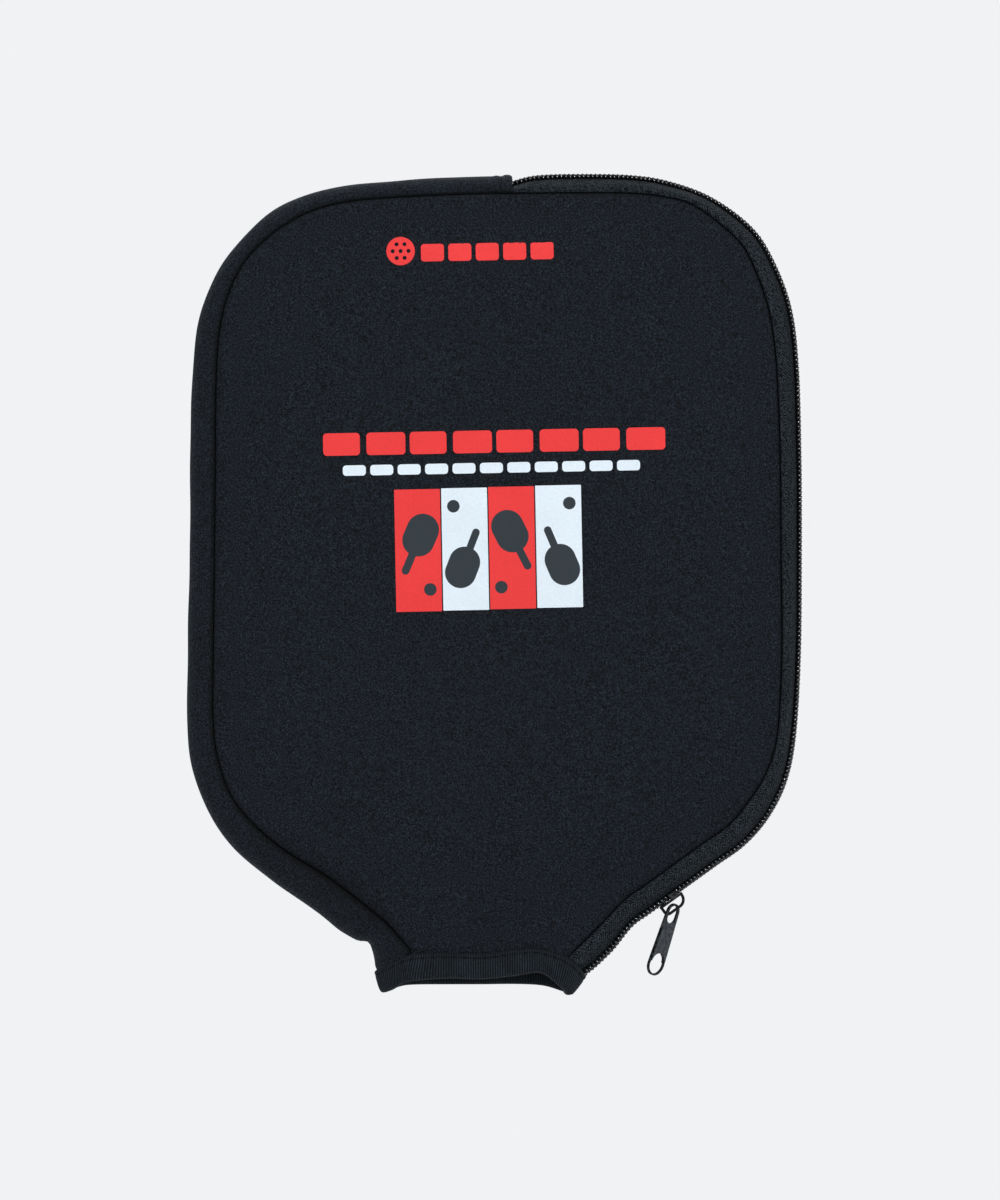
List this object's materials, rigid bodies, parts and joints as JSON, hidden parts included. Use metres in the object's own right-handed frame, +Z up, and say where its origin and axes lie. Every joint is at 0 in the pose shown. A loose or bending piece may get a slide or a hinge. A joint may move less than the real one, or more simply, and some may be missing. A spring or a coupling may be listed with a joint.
{
  "type": "paddle case",
  "caption": "Padded paddle cover: two cloth-faced foam panels, a side gusset, a coil zip with slider and pull tab, and a bound mouth for the handle.",
  "frame": {"origin": "centre of the bounding box's bottom face, under the mouth", "axes": "+X to the zip side as seen from the front, +Y towards the back panel, +Z up from the mouth to the crown"},
  "size_m": [0.225, 0.0224, 0.3009],
  "materials": {
    "panel_cloth": "knit-faced neoprene, matte",
    "gusset_cloth": "knit-faced neoprene, matte",
    "thread": "matte thread",
    "zip_tape": "woven tape, matte",
    "zip_coil": "nylon coil, glossy",
    "zip_cord": "braided cord",
    "binding_tape": "ribbed woven tape, matte",
    "seam_tape": "woven tape, matte",
    "slider_metal": "black enamel, satin",
    "pull_metal": "black enamel, satin",
    "print_red": "screen print, satin",
    "print_white": "screen print, satin",
    "print_grey": "screen print, satin"
  },
  "bodies": {
    "shell": {"back_panel": "panel_cloth", "front_panel_fixed": "panel_cloth", "side_gusset": "gusset_cloth", "gusset_end_hem": "gusset_cloth", "hem_stitches": "thread", "zip_tape_back": "zip_tape", "zip_coil_back": "zip_coil", "zip_cord_back": "zip_cord", "zip_start_tack": "thread", "zip_end_tack": "thread", "mouth_binding": "binding_tape", "binding_stitches": "thread", "seam_tape_back": "seam_tape", "seam_tape_front_left": "seam_tape", "print_mark_left": "print_red", "print_title_left": "print_red", "print_subtitle_left": "print_white", "print_red": "print_red", "print_white_left": "print_white", "print_figures_left": "print_grey"},
    "flap": {"front_panel_flap": "panel_cloth", "zip_tape_front": "zip_tape", "zip_coil_front": "zip_coil", "zip_cord_front": "zip_cord", "seam_tape_front_right": "seam_tape", "print_mark_right": "print_red", "print_title_right": "print_red", "print_subtitle_right": "print_white", "print_white_right": "print_white", "print_figures_right": "print_grey"},
    "slider": {"slider_body": "slider_metal"},
    "pull": {"pull_tab": "pull_metal"}
  },
  "joints": [
    {"name": "flap_open", "type": "hinge", "parent": "shell", "child": "flap", "pos_m": [0.0286, -0.0102, 0.0147], "axis": [0.0702, 0, -0.9975], "range_deg": [0, 130], "deforming": ["zip_coil_front", "zip_cord_front", "zip_tape_front"]},
    {"name": "slider_travel", "type": "slide", "parent": "shell", "child": "slider", "axis": [0.8114, 0, 0.5845], "range_m": [-0.01, 0.027], "deforming": ["zip_coil_back", "zip_cord_back", "zip_coil_front", "zip_cord_front"]},
    {"name": "pull_swing", "type": "hinge", "parent": "slider", "child": "pull", "pos_m": [0.06553, 0, 0.03036], "axis": [0.8114, 0, 0.5845], "range_deg": [-40, 90]}
  ]
}
